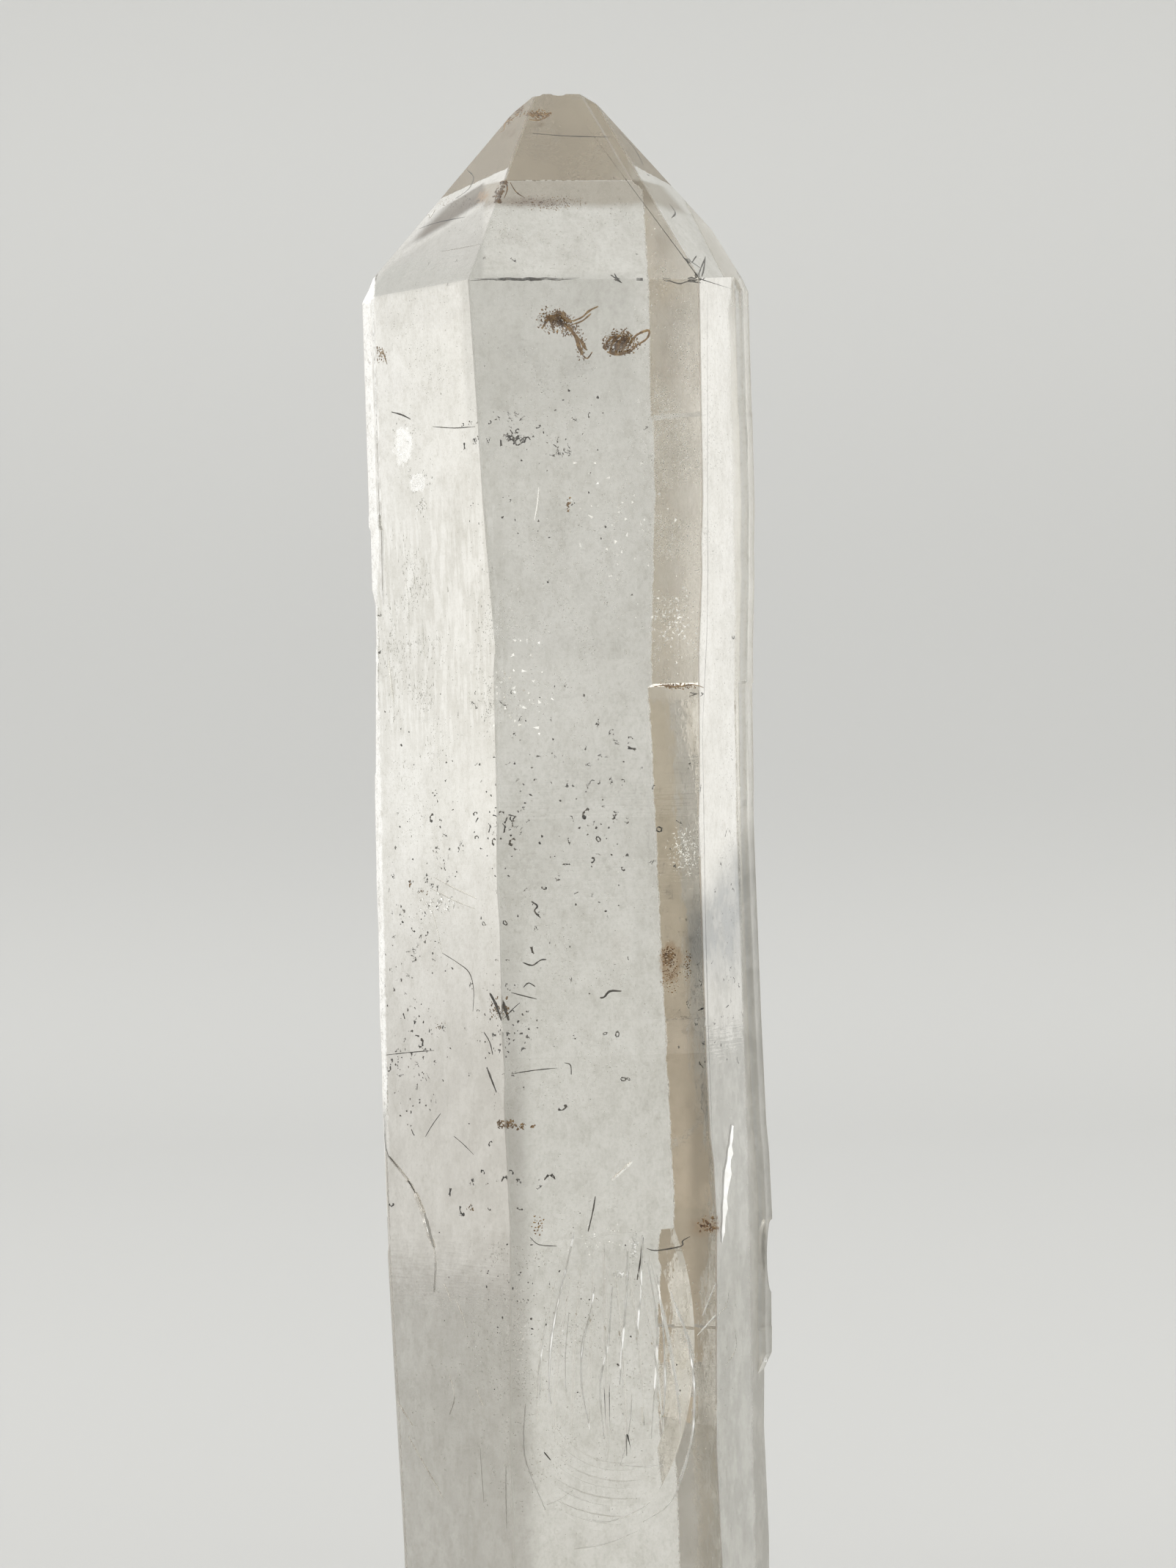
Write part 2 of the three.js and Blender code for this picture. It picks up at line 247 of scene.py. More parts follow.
def with_stains(colour, place):
    """Lays an ochre ring and spot low on the right, and brown stains at the tip and in two pits."""
    ring = place.patch((8.5, -11.5, 69.6), (1.2, 3.0, 2.1), 0.3, 0.4)
    ring = ring * (1 - place.patch((8.6, -11.5, 69.5), (0.7, 3.0, 1.4), 0.9, 0.4) * 0.7)
    low_spot = place.patch((11.0, -11.0, 46.8), (2.2, 4.0, 1.2), 1.0, 0.6)
    colour = (ring.at_least(low_spot) * 0.75).mixed(colour, ochre_stain)
    brown = place.patch((-6.4, -4.6, 136.6), (1.0, 3.0, 1.2), 0.8, 0.7)
    brown = brown.at_least(place.patch((-16.8, 1.2, 124.2), (1.3, 1.5, 1.0), 0.8))
    brown = brown.at_least(place.patch((-1.3, -3.0, 143.1), (1.3, 5.0, 0.5), 0.7, 0.7))
    brown = brown.at_least(place.patch((-4.0, -2.0, 142.6), (1.1, 5.0, 0.8), 0.8, 0.7))
    return brown.mixed(colour, brown_stain)


def bruises_and_glints(place, height, ragged):
    """1 where knocks have crushed the left rim, and at two spots near it, where the crushed white is
    partly a painted glint.
    """
    rim = place.toward(picture_left) + ragged * 0.2 - height.step(108.0, 100.0) * 0.4
    bruises_and_spot_glints = rim.step(16.0, 16.2) * height.step(50.0, 60.0)
    bruises_and_spot_glints = bruises_and_spot_glints.at_least(place.patch((-13.8, -6.0, 114.7), (1.0, 9.0, 1.9), 0.2, 0.5))
    return bruises_and_spot_glints.at_least(place.patch((-12.5, -6.0, 111.4), (0.8, 9.0, 0.9), 0.2, 0.6))


def clear_quartz():
    """The crystal's material, with painted shade on some faces. Lengths are in millimetres, and
    heights are above the base.
    """
    material, place = new_material("clear_quartz")
    height = place.axis(2)
    edge = place.node("Attribute", {"attribute_name": "worn_edge"}, output=2)
    cloudy = place.noise((3.0, 3.0, 5.0), 4.0, 0.6)
    fine = place.noise((0.3, 0.3, 0.6), 3.0, 0.6)
    silky = place.noise((0.6, 0.6, 3.2), 3.0, 0.6)
    ledges = place.noise((6.0, 6.0, 0.25), 2.0, 0.5)
    frost_grain = place.noise((0.7, 0.7, 0.9), 4.0, 0.7)
    ragged = (frost_grain - 0.5) * 3.0
    wavy = (cloudy - 0.5) * 2.6

    frosted_back = (place.toward(back_right_face) + ragged).step(9.8, 12.0)
    frosted_back = frosted_back * (height + ragged).step(91.6, 93.0)
    etched = (cloudy * 0.6 + fine * 0.4).step(0.5, 0.66)
    roughness = (etched * 0.03).at_least(frosted_back * (0.1 + cloudy * 0.2))
    roughness = roughness.at_least(edge * (0.15 + fine * 0.5))
    right_rib = (place.toward(picture_right) + ragged * 0.2).step(14.7, 15.1)
    right_rib = right_rib * height.step(128.0, 126.0)
    roughness = roughness.at_least(right_rib * (0.2 + cloudy * 0.3))

    left_stripes = height.step(84.0, 92.0) * height.step(114.0, 106.0)
    silky_left = place.toward(left_face).step(11.0, 12.0) * left_stripes
    relief = fine * 0.08 + ledges * 0.15 + cloudy * 1.1 + silky_left * silky * 0.5
    relief = relief + frosted_back * frost_grain * 0.2 + edge * fine * 2.0
    bump = place.node("Bump", {}, {"Height": relief, "Strength": 0.35, "Distance": relief_depth})

    blotches = place.noise((1.1, 1.1, 1.6), 5.0, 0.75).step(0.30, 0.56)
    grime = place.noise((0.28, 0.28, 0.36), 3.0, 0.75).step(0.34, 0.52)
    clouds = place.noise((5.0, 5.0, 8.0), 3.0, 0.6).step(0.35, 0.65)
    clearness = blotches * 0.42 + grime * 0.30 + clouds * 0.28
    clearness = clearness * (1 - silky_left * 0.5) + silky_left * silky.step(0.46, 0.60) * 0.5
    clearness = clearness.at_least(height.step(137.3, 138.0) * 0.8)
    colour = clearness.mixed(grey_film, clear_film)
    tip = tip_parts(place, height, wavy)
    # Painted shade: greys low on both side faces, at the top of the front and left of the point.
    colour = with_painted_shade(colour, place, height, wavy, tip, right_rib)
    colour = with_tip_clay(colour, place, height, wavy, tip)
    colour = with_stains(colour, place)

    sockets = {
        "Base Color": colour,
        "Roughness": roughness,
        "Normal": bump,
        "IOR": quartz_ior,
        "Transmission Weight": 1.0,
    }
    clear = place.node("BsdfPrincipled", {}, sockets)
    crushed_colour = blotches.mixed(crushed_pale, crushed_white)
    crushed_sockets = {"Base Color": crushed_colour, "Roughness": 0.55, "Normal": bump}
    crushed = place.node("BsdfPrincipled", {}, crushed_sockets)
    # The crushed white: real on the left rim, partly a painted glint at the two spots near it.
    crushed_and_glint_share = bruises_and_glints(place, height, ragged) * (0.62 + grime * 0.36)
    surface = place.node("MixShader", {}, {0: crushed_and_glint_share, 1: clear, 2: crushed})
    tint = {"Color": quartz_tint, "Density": quartz_tint_density}
    volume = place.node("VolumeAbsorption", {}, tint)
    place.node("OutputMaterial", {}, {"Surface": surface, "Volume": volume})
    return material


def crushed_quartz(name, marks_size, low, high, roughness):
    """Quartz that the saw or a knock has crushed white, with marks of a size in millimetres."""
    material, place = new_material(name)
    marks = place.noise(marks_size, 3.0, 0.6)
    dust = place.noise((1.2, 1.2, 1.2), 4.0, 0.6)
    shade = (marks * 0.5 + dust * 0.5).step(0.35, 0.65)
    relief = {"Height": marks + dust, "Strength": 0.4, "Distance": marks_depth}
    sockets = {
        "Base Color": shade.mixed((*low, 1.0), (*high, 1.0)),
        "Roughness": roughness + dust * 0.3,
        "Normal": place.node("Bump", {}, relief),
    }
    place.principled(sockets)
    return material


def finish_piece(piece, material):
    """Gives a piece its material and the body that it rides on."""
    piece.data.materials.clear()
    piece.data.materials.append(material)
    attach(piece, "root")


def select_only(piece):
    bpy.ops.object.select_all(action="DESELECT")
    piece.select_set(True)
    bpy.context.view_layer.objects.active = piece


def select_long_corners(piece):
    """In edit mode, selects the long upright edges where two faces of the crystal meet."""
    shape = bmesh.from_edit_mesh(piece.data)
    for edge in shape.edges:
        turn = edge.calc_face_angle(0.0)
        run = edge.verts[1].co - edge.verts[0].co
        is_corner = corner_angles[0] < turn < corner_angles[1] and run.length > shortest_corner
        edge.select_set(is_corner and abs(run.z) > steep_share * run.length)
    bmesh.update_edit_mesh(piece.data)


def join_shoulder_ends(piece):
    """In edit mode, joins the ends of corners that nearly meet where the point begins in front."""
    select_long_corners(piece)
    shape = bmesh.from_edit_mesh(piece.data)
    ends = [end for end in shape.verts if end.select]
    bpy.ops.mesh.select_all(action="DESELECT")
    for end in ends:
        end.select_set(end.co.y < shoulder_front and end.co.z > shoulder_height)
    bmesh.update_edit_mesh(piece.data)
    bpy.ops.mesh.remove_doubles(threshold=nearly_met)


def mark_worn_edges(piece, name):
    """Marks the narrow faces that a bevel has just made, for the piece's material to read."""
    mesh = piece.data
    mark = mesh.attributes.new(name, "FLOAT", "CORNER")
    for face in mesh.polygons:
        places = [mesh.vertices[corner].co for corner in face.vertices]
        longest = max((a - b).length for a, b in zip(places, places[1:] + places[:1]))
        worn = face.select and face.area < 2.0 * corner_width * longest
        for corner in face.loop_indices:
            mark.data[corner].value = float(worn)


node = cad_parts["quartz_wand"]
crystal = bpy.data.objects.new("quartz_crystal", node.data.copy())
bpy.context.scene.collection.objects.link(crystal)
select_only(crystal)
bpy.ops.object.mode_set(mode="EDIT")
bpy.ops.mesh.select_all(action="SELECT")
bpy.ops.mesh.remove_doubles(threshold=same_place)
bpy.ops.mesh.dissolve_limited(angle_limit=flat_within)
bpy.ops.mesh.select_mode(type="VERT")
join_shoulder_ends(crystal)
bpy.ops.mesh.select_mode(type="EDGE")
bpy.ops.mesh.select_all(action="DESELECT")
select_long_corners(crystal)
bpy.ops.mesh.bevel(offset=corner_width, segments=corner_facets, affect="EDGES")
bpy.ops.object.mode_set(mode="OBJECT")
mark_worn_edges(crystal, "worn_edge")
bpy.ops.object.shade_flat()
finish_piece(crystal, clear_quartz())
sawn_look = ((9.0, 0.35, 9.0), (0.74, 0.70, 0.64), (0.92, 0.89, 0.85), 0.6)
crystal.data.materials.append(crushed_quartz("sawn_quartz", *sawn_look))
bruised_look = ((0.4, 0.4, 1.5), (0.66, 0.65, 0.62), (0.95, 0.945, 0.93), 0.5)
crystal.data.materials.append(crushed_quartz("bruised_quartz", *bruised_look))
sawn_number, bruised_number = 1, 2
worn = crystal.data.attributes["worn_edge"].data
for face in crystal.data.polygons:
    at_left = face.center.x < bruised_left_of and face.center.z > bruised_above
    if face.normal.z < facing_down and face.center.z < base_height:
        face.material_index = sawn_number
    elif at_left and worn[face.loop_start].value > 0.5:
        face.material_index = bruised_number
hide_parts("quartz_wand")
bpy.context.view_layer.update()


# The dark flecks: nearly three hundred smudges, bars, hooks and little rings of black mineral, up
# to a millimetre across, and as many grains of dust. The crystal closed over them as it grew, so
# they float at all depths inside it, where the picture shows them.
focal_pixels = lens_mm / sensor_mm * max(picture_size)
least_cover = 0.35 * mm
picture_middle = (755, 1070)
edge_step = 0.01
fleck_depths = (1.0, 9.0)
fleck_narrowing = (0.4, 1.0)
fleck_sway = 0.35
band_spread = 0.45
splinters_each = 9
ring_spots = [
    (899, 1131), (816, 1145), (689, 1259), (825, 1410), (842, 1411), (625, 1159), (526, 1532),
    (808, 1173), (857, 1472), (850, 1472), (582, 1274), (601, 1119),
]
hook_spots = [
    (698, 944), (850, 1065), (850, 1185), (857, 1307), (518, 839), (652, 1379), (1008, 1344),
    (735, 1246), (728, 1234), (742, 1211), (860, 1007), (892, 1074), (559, 1204), (595, 1503),
    (668, 576), (690, 592), (706, 588), (762, 612), (776, 620), (734, 582), (804, 566),
]
bar_spots = [
    (690, 1119), (688, 1131), (676, 1113), (668, 1126), (772, 1179), (786, 1218), (726, 1296),
    (524, 1343), (563, 1545), (614, 1626), (990, 1137), (1015, 1095), (992, 1373), (1017, 1421),
    (1021, 928), (862, 1021), (569, 1413), (551, 1386), (683, 604), (716, 600), (757, 608),
]
crumb_spots = [
    (686, 961), (683, 958), (690, 964), (709, 982), (752, 982), (692, 1041), (757, 1033),
    (734, 1032), (657, 1065), (712, 1130), (721, 1119), (716, 1215), (772, 937), (862, 811),
    (816, 988), (832, 1000), (843, 1015), (799, 1021), (875, 1047), (832, 1065), (774, 1072),
    (779, 1114), (839, 1112), (837, 1118), (810, 1121), (777, 1149), (817, 1166), (855, 1166),
    (888, 1176), (914, 1158), (762, 1198), (808, 1220), (730, 1267), (691, 1310), (750, 1286),
    (721, 1380), (692, 1410), (712, 1431), (719, 1415), (756, 1427), (829, 1250), (779, 1335),
    (784, 1415), (767, 1511), (608, 1065), (597, 1093), (608, 1140), (539, 1156), (596, 1170),
    (656, 1158), (582, 1194), (612, 1200), (537, 1194), (531, 1214), (542, 1109), (559, 935),
    (574, 929), (625, 975), (518, 890), (546, 1250), (537, 1279), (566, 1309), (533, 1324),
    (548, 1338), (562, 1334), (538, 1350), (566, 1363), (562, 1406), (601, 1401), (634, 1403),
    (642, 1346), (535, 1446), (577, 1443), (585, 1470), (569, 1480), (641, 1467), (643, 1612),
    (534, 1643), (669, 1560), (999, 1036), (1000, 869), (983, 1179), (976, 1215), (1000, 1215),
    (940, 1044), (928, 1122), (985, 1387), (975, 1396), (975, 1422), (973, 1253), (959, 1315),
    (882, 583), (679, 570), (697, 583), (711, 572), (727, 595), (785, 572), (667, 600),
    (884, 239), (702, 355), (586, 358), (660, 352), (868, 346), (700, 1003), (640, 1533),
]
speck_clusters = [
    ((700, 596), (20, 9), 15),
    ((694, 570), (12, 8), 3),
    ((764, 614), (20, 12), 10),
    ((600, 1180), (60, 70), 14),
    ((560, 1290), (45, 90), 16),
    ((570, 1440), (60, 70), 22),
    ((700, 1130), (45, 40), 8),
    ((820, 1080), (70, 110), 14),
    ((1000, 1360), (30, 90), 9),
    ((690, 1620), (120, 60), 10),
]
dust_bands = [
    ((770, 1110), (130, 260), 70),
    ((575, 1180), (70, 330), 60),
    ((740, 640), (110, 190), 40),
    ((1000, 1150), (25, 380), 16),
    ((700, 1420), (60, 90), 26),
    ((560, 1450), (60, 110), 60),
    ((760, 1780), (240, 200), 40),
]


def outer_ray(spot):
    """The direction in which the camera sees a picture point."""
    across, up = spot[0] - picture_size[0] / 2, picture_size[1] / 2 - spot[1]
    tilted = camera.rotation_euler.to_quaternion() @ Vector((across, up, -focal_pixels))
    return tilted.normalized()


def bent_inward(ray, normal):
    """The way a view runs on inside the quartz, where it goes in through a face."""
    ratio = 1.0 / quartz_ior
    facing = -ray.dot(normal)
    return ray * ratio + normal * (ratio * facing - math.sqrt(1.0 - ratio**2 * (1.0 - facing**2)))


def seen_at(spot, depth):
    """The place inside the crystal that a picture point shows, and the way the view runs there.

    The depth, in millimetres, is measured along the view. A point beside the crystal's outline, or
    so close to it that nothing lies behind, is first moved inwards.
    """
    ray = outer_ray(spot)
    surface, normal, _, _ = crystal_tree.ray_cast(camera_place, ray)
    far_side = None
    if surface is not None:
        inward = bent_inward(ray, normal)
        far_side = crystal_tree.ray_cast(surface + inward * same_place, inward)[3]
    if far_side is None:
        return seen_at([s + (m - s) * edge_step for s, m in zip(spot, picture_middle)], depth)
    distance = min(depth * mm, max(0.5 * far_side, far_side - least_cover))
    return surface + inward * distance, inward


def joined_copies(name, shapes, places, material):
    """One piece made of many copies of a few small shapes: places are shape numbers and matrices."""
    points, faces = [], []
    for which, matrix in places:
        mesh = shapes[which].data
        start = len(points)
        points += [matrix @ corner.co for corner in mesh.vertices]
        faces += [[start + i for i in face.vertices] for face in mesh.polygons]
    return new_piece(name, points, faces, material)


def new_piece(name, points, faces, material):
    mesh = bpy.data.meshes.new(name)
    mesh.from_pydata(points, [], faces)
    piece = bpy.data.objects.new(name, mesh)
    bpy.context.scene.collection.objects.link(piece)
    finish_piece(piece, material)
    return piece


def set_down(place, inward, size, spin, lean):
    """A matrix that lays a shape at a place, facing the view but for its lean, and spun about it."""
    facing = inward.to_track_quat("Z", "Y").to_matrix().to_4x4()
    tilt = Matrix.Rotation(lean[0], 4, "X") @ Matrix.Rotation(lean[1], 4, "Y")
    return (
        Matrix.Translation(place) @ facing @ tilt
        @ Matrix.Rotation(spin, 4, "Z") @ Matrix.Diagonal((*size, 1.0))
    )


def crushed_shape(seed, amount):
    """Finishes a small shape in edit mode by moving its corners a little, as nothing grows regular."""
    shape = bpy.context.object
    bpy.ops.object.mode_set(mode="EDIT")
    bpy.ops.mesh.select_all(action="SELECT")
    bpy.ops.transform.vertex_random(offset=amount, uniform=1.0, seed=seed)
    bpy.ops.mesh.normals_make_consistent(inside=False)
    bpy.ops.object.mode_set(mode="OBJECT")
    return shape


def crumb_shape(seed, amount=0.28):
    bpy.ops.mesh.primitive_ico_sphere_add(subdivisions=1, radius=0.5)
    return crushed_shape(seed, amount)


def ring_shape(seed, part_of_ring):
    """A little ring, or a hook where a plane cuts some of the ring away."""
    bpy.ops.mesh.primitive_torus_add(
        major_segments=12, minor_segments=4, major_radius=0.42, minor_radius=0.1
    )
    if part_of_ring < 1.0:
        bpy.ops.object.mode_set(mode="EDIT")
        bpy.ops.mesh.select_all(action="SELECT")
        bpy.ops.mesh.bisect(
            plane_co=(0.0, 0.9 * (part_of_ring - 0.5), 0.0), plane_no=(0.0, 1.0, 0.0),
            use_fill=True, clear_outer=True,
        )
        bpy.ops.object.mode_set(mode="OBJECT")
    return crushed_shape(seed, 0.11)


def bar_shape(seed):
    lying = (0.0, math.pi / 2, 0.0)
    bpy.ops.mesh.primitive_cylinder_add(vertices=5, radius=0.14, depth=1.0, rotation=lying)
    bpy.ops.object.transform_apply(location=False, rotation=True, scale=False)
    bpy.ops.object.mode_set(mode="EDIT")
    bpy.ops.mesh.select_all(action="SELECT")
    bpy.ops.mesh.subdivide(number_cuts=1)
    bpy.ops.object.mode_set(mode="OBJECT")
    return crushed_shape(seed, 0.1)


def splintered_shape(seed):
    """A ragged smudge of thin splinters that lie close together."""
    scatter = random.Random(seed)
    bpy.ops.object.select_all(action="DESELECT")
    splinters = []
    for _ in range(splinters_each):
        middle = (scatter.gauss(0.0, 0.2), scatter.gauss(0.0, 0.2), scatter.uniform(-0.1, 0.1))
        bpy.ops.mesh.primitive_cone_add(
            vertices=3, radius1=scatter.uniform(0.08, 0.22), depth=0.1, location=middle,
            rotation=(0.0, scatter.uniform(-0.4, 0.4), scatter.uniform(0.0, math.tau)),
        )
        bpy.context.object.scale = (1.0, 0.45, 1.0)
        splinters.append(bpy.context.object)
    for splinter in splinters:
        splinter.select_set(True)
    bpy.ops.object.transform_apply(location=True, rotation=True, scale=True)
    bpy.ops.object.join()
    return crushed_shape(seed, 0.03)


def remove_shapes(shapes):
    for shape in shapes:
        bpy.data.objects.remove(shape, do_unlink=True)


def dark_mineral():
    material, place = new_material("dark_mineral")
    mottle = place.noise((0.5, 0.5, 0.5), 3.0, 0.6)
    colour = mottle.step(0.35, 0.7).mixed((0.035, 0.033, 0.028, 1.0), (0.15, 0.13, 0.10, 1.0))
    place.principled({"Base Color": colour, "Roughness": 0.35 + mottle * 0.4})
    return material


crystal_tree = BVHTree.FromObject(crystal, bpy.context.evaluated_depsgraph_get())
chance = random.Random(11)
fleck_shapes = [crumb_shape(seed) for seed in (1, 2, 3)]
fleck_shapes += [ring_shape(4, 1.0), ring_shape(5, 0.7), ring_shape(6, 0.5), bar_shape(7)]
fleck_shapes += [splintered_shape(seed) for seed in (8, 9, 10, 12)]
crumb_kinds, ring_kinds, hook_kinds = (0, 1, 2), (3, 4), (4, 5)
bar_kinds, splintered_kinds = (6,), (7, 8, 9, 10)


def fleck_places(spots, kinds, depths, widths, thickness):
    """Shape numbers and matrices for flecks at picture points; depths and widths are ranges in mm."""
    places = []
    for spot in spots:
        place, inward = seen_at(spot, chance.uniform(*depths))
        width = chance.uniform(*widths) * mm
        size = (width, width * chance.uniform(*fleck_narrowing), width * thickness)
        lean = (chance.gauss(0.0, fleck_sway), chance.gauss(0.0, fleck_sway))
        spin = chance.uniform(0.0, math.tau)
        places.append((chance.choice(kinds), set_down(place, inward, size, spin, lean)))
    return places


def spots_in_band(middle, half, count):
    """Random picture points inside an oval, thicker towards its middle."""
    spots = []
    while len(spots) < count:
        across, up = chance.gauss(0.0, band_spread), chance.gauss(0.0, band_spread)
        spot = (middle[0] + across * half[0], middle[1] + up * half[1])
        on_crystal = crystal_tree.ray_cast(camera_place, outer_ray(spot))[0] is not None
        if math.hypot(across, up) < 1.0 and on_crystal:
            spots.append(spot)
    return spots


all_flecks = fleck_places(ring_spots, ring_kinds, fleck_depths, (0.40, 0.65), 0.7)
all_flecks += fleck_places(hook_spots, hook_kinds, fleck_depths, (0.28, 0.50), 0.8)
all_flecks += fleck_places(bar_spots, bar_kinds, fleck_depths, (0.4, 0.75), 0.6)
mostly_splintered = splintered_kinds * 4 + hook_kinds
all_flecks += fleck_places(crumb_spots, mostly_splintered, fleck_depths, (0.42, 0.92), 0.4)
some_hooks = splintered_kinds * 2 + hook_kinds
for middle, half, count in speck_clusters:
    spots = spots_in_band(middle, half, count)
    all_flecks += fleck_places(spots, some_hooks, fleck_depths, (0.5, 1.0), 0.4)
for middle, half, count in dust_bands:
    spots = spots_in_band(middle, half, count)
    all_flecks += fleck_places(spots, crumb_kinds, fleck_depths, (0.1, 0.26), 0.6)
black = dark_mineral()
joined_copies("dark_flecks", fleck_shapes, all_flecks, black)


# The hairlines: dark threads of mineral and fine cracks with dirt in them. Each is a tapered strand
# a tenth to a third of a millimetre thick that follows its own bent line through the crystal.
# A line is a width and a depth in millimetres, then the picture points that it passes.
smooth_steps = 4
strand_sides = 5
strand_end = 0.25
strand_taper = 0.6
strand_uneven = 0.3
thread_lines = [
    (0.10, 0.5, [(637, 232), (646, 242), (639, 258), (621, 271)]),
    (0.10, 0.6, [(726, 182), (780, 186), (835, 187)]),
    (0.10, 0.5, [(572, 312), (595, 304), (634, 296)]),
    (0.16, 0.6, [(845, 180), (860, 196), (868, 207), (878, 226)]),
    (0.16, 0.8, [(913, 278), (921, 290), (916, 297)]),
    (0.16, 0.8, [(932, 352), (944, 358), (956, 366)]),
    (0.14, 0.8, [(944, 358), (950, 349)]),
    (0.14, 0.8, [(956, 366), (962, 352)]),
    (0.18, 0.8, [(956, 366), (950, 378), (938, 383)]),
    (0.16, 0.8, [(962, 350), (960, 366), (957, 377)]),
    (0.16, 0.6, [(833, 375), (840, 380), (848, 386)]),
    (0.14, 0.6, [(838, 373), (843, 384)]),
    (0.14, 0.6, [(868, 382), (877, 382)]),
    (0.07, 0.4, [(640, 383), (672, 381), (706, 380), (744, 381), (790, 379)]),
    (0.10, 0.5, [(668, 382), (690, 379), (718, 381), (744, 379), (768, 381)]),
    (0.12, 0.5, [(684, 380), (704, 382), (722, 379), (741, 381)]),
    (0.12, 0.6, [(904, 379), (925, 387), (939, 384), (956, 386)]),
    (0.09, 0.8, [(590, 582), (620, 584), (648, 582)]),
    (0.14, 1.0, [(534, 562), (548, 566), (560, 572)]),
    (0.10, 2.0, [(940, 950), (949, 947), (958, 945)]),
    (0.20, 3.0, [(725, 1230), (733, 1236), (729, 1243), (737, 1252)]),
    (0.14, 3.0, [(713, 1313), (726, 1317), (737, 1310), (745, 1309)]),
    (0.18, 2.5, [(848, 1352), (832, 1352), (824, 1360), (818, 1361)]),
    (0.30, 1.5, [(668, 1355), (676, 1370), (684, 1392)]),
    (0.09, 1.5, [(688, 1389), (700, 1376), (709, 1368)]),
    (0.09, 0.8, [(603, 1300), (625, 1314), (640, 1327), (646, 1350), (645, 1380)]),
    (0.09, 2.0, [(697, 1465), (730, 1460), (760, 1457)]),
    (0.08, 1.0, [(520, 1440), (556, 1436), (592, 1433)]),
    (0.14, 1.0, [(660, 1408), (668, 1422), (672, 1439)]),
    (0.22, 1.0, [(664, 1456), (670, 1472), (677, 1490)]),
    (0.09, 1.0, [(619, 1550), (632, 1561), (646, 1575)]),
    (0.09, 1.0, [(601, 1519), (590, 1534), (580, 1551)]),
    (0.10, 2.0, [(770, 1450), (778, 1453), (779, 1466)]),
    (0.12, 1.0, [(882, 1703), (896, 1706), (929, 1700), (931, 1693), (941, 1687)]),
    (0.14, 0.7, [(812, 1632), (808, 1655), (802, 1680)]),
    (0.14, 0.5, [(500, 1560), (524, 1571), (543, 1593)]),
    (0.16, 0.5, [(556, 1610), (562, 1619), (566, 1627)]),
    (0.18, 0.7, [(877, 1688), (874, 1715), (869, 1746)]),
    (0.12, 1.0, [(742, 1981), (751, 1992)]),
    (0.09, 0.6, [(723, 1688), (735, 1698), (759, 1700)]),
    (0.10, 1.5, [(697, 1354), (712, 1358), (732, 1363)]),
    (0.12, 1.5, [(714, 1347), (721, 1341), (730, 1346)]),
]


def smooth_line(points):
    """The points of a line with rounded bends that passes through all the given ones."""
    line = []
    for i in range(len(points) - 1):
        before, start = points[max(i - 1, 0)], points[i]
        end, after = points[i + 1], points[min(i + 2, len(points) - 1)]
        for step in range(smooth_steps):
            t = step / smooth_steps
            line.append(tuple(
                0.5 * (2 * b + (c - a) * t + (2 * a - 5 * b + 4 * c - d) * t**2
                       + (3 * b - a - 3 * c + d) * t**3)
                for a, b, c, d in zip(before, start, end, after)
            ))
    return line + [points[-1]]


def strand(points, faces, spots, depth, width, flatness):
    """Adds one tapered strand, closed at both ends, that is seen along a line of picture points."""
    line = [seen_at(spot, depth) for spot in smooth_line(spots)]
    last = len(line) - 1
    start = len(points)
    for i, (place, inward) in enumerate(line):
        along = (line[min(i + 1, last)][0] - line[max(i - 1, 0)][0]).normalized()
        across = along.cross(inward).normalized()
        through = across.cross(along)
        middle_share = math.sin(math.pi * (i + 0.5) / (last + 1)) ** strand_taper
        swell = strand_end + (1.0 - strand_end) * middle_share
        half = 0.5 * width * mm * swell * chance.uniform(1.0 - strand_uneven, 1.0 + strand_uneven)
        for side in range(strand_sides):
            turn = math.tau * side / strand_sides
            outward = across * math.cos(turn) + through * flatness * math.sin(turn)
            points.append(place + half * outward)
    for i in range(last):
        ring = start + i * strand_sides
        next_ring = ring + strand_sides
        for side in range(strand_sides):
            after = (side + 1) % strand_sides
            faces.append((ring + side, next_ring + side, next_ring + after, ring + after))
    end = start + last * strand_sides
    faces.append(tuple(range(start, start + strand_sides)))
    faces.append(tuple(range(end + strand_sides - 1, end - 1, -1)))


def strands(name, lines, flatness, material):
    """One piece made of many strands; each line gives a width, a depth and its picture points."""
    points, faces = [], []
    for width, depth, spots in lines:
        strand(points, faces, spots, depth, width, flatness)
    return new_piece(name, points, faces, material)


strands("dark_hairlines", thread_lines, 0.7, black)


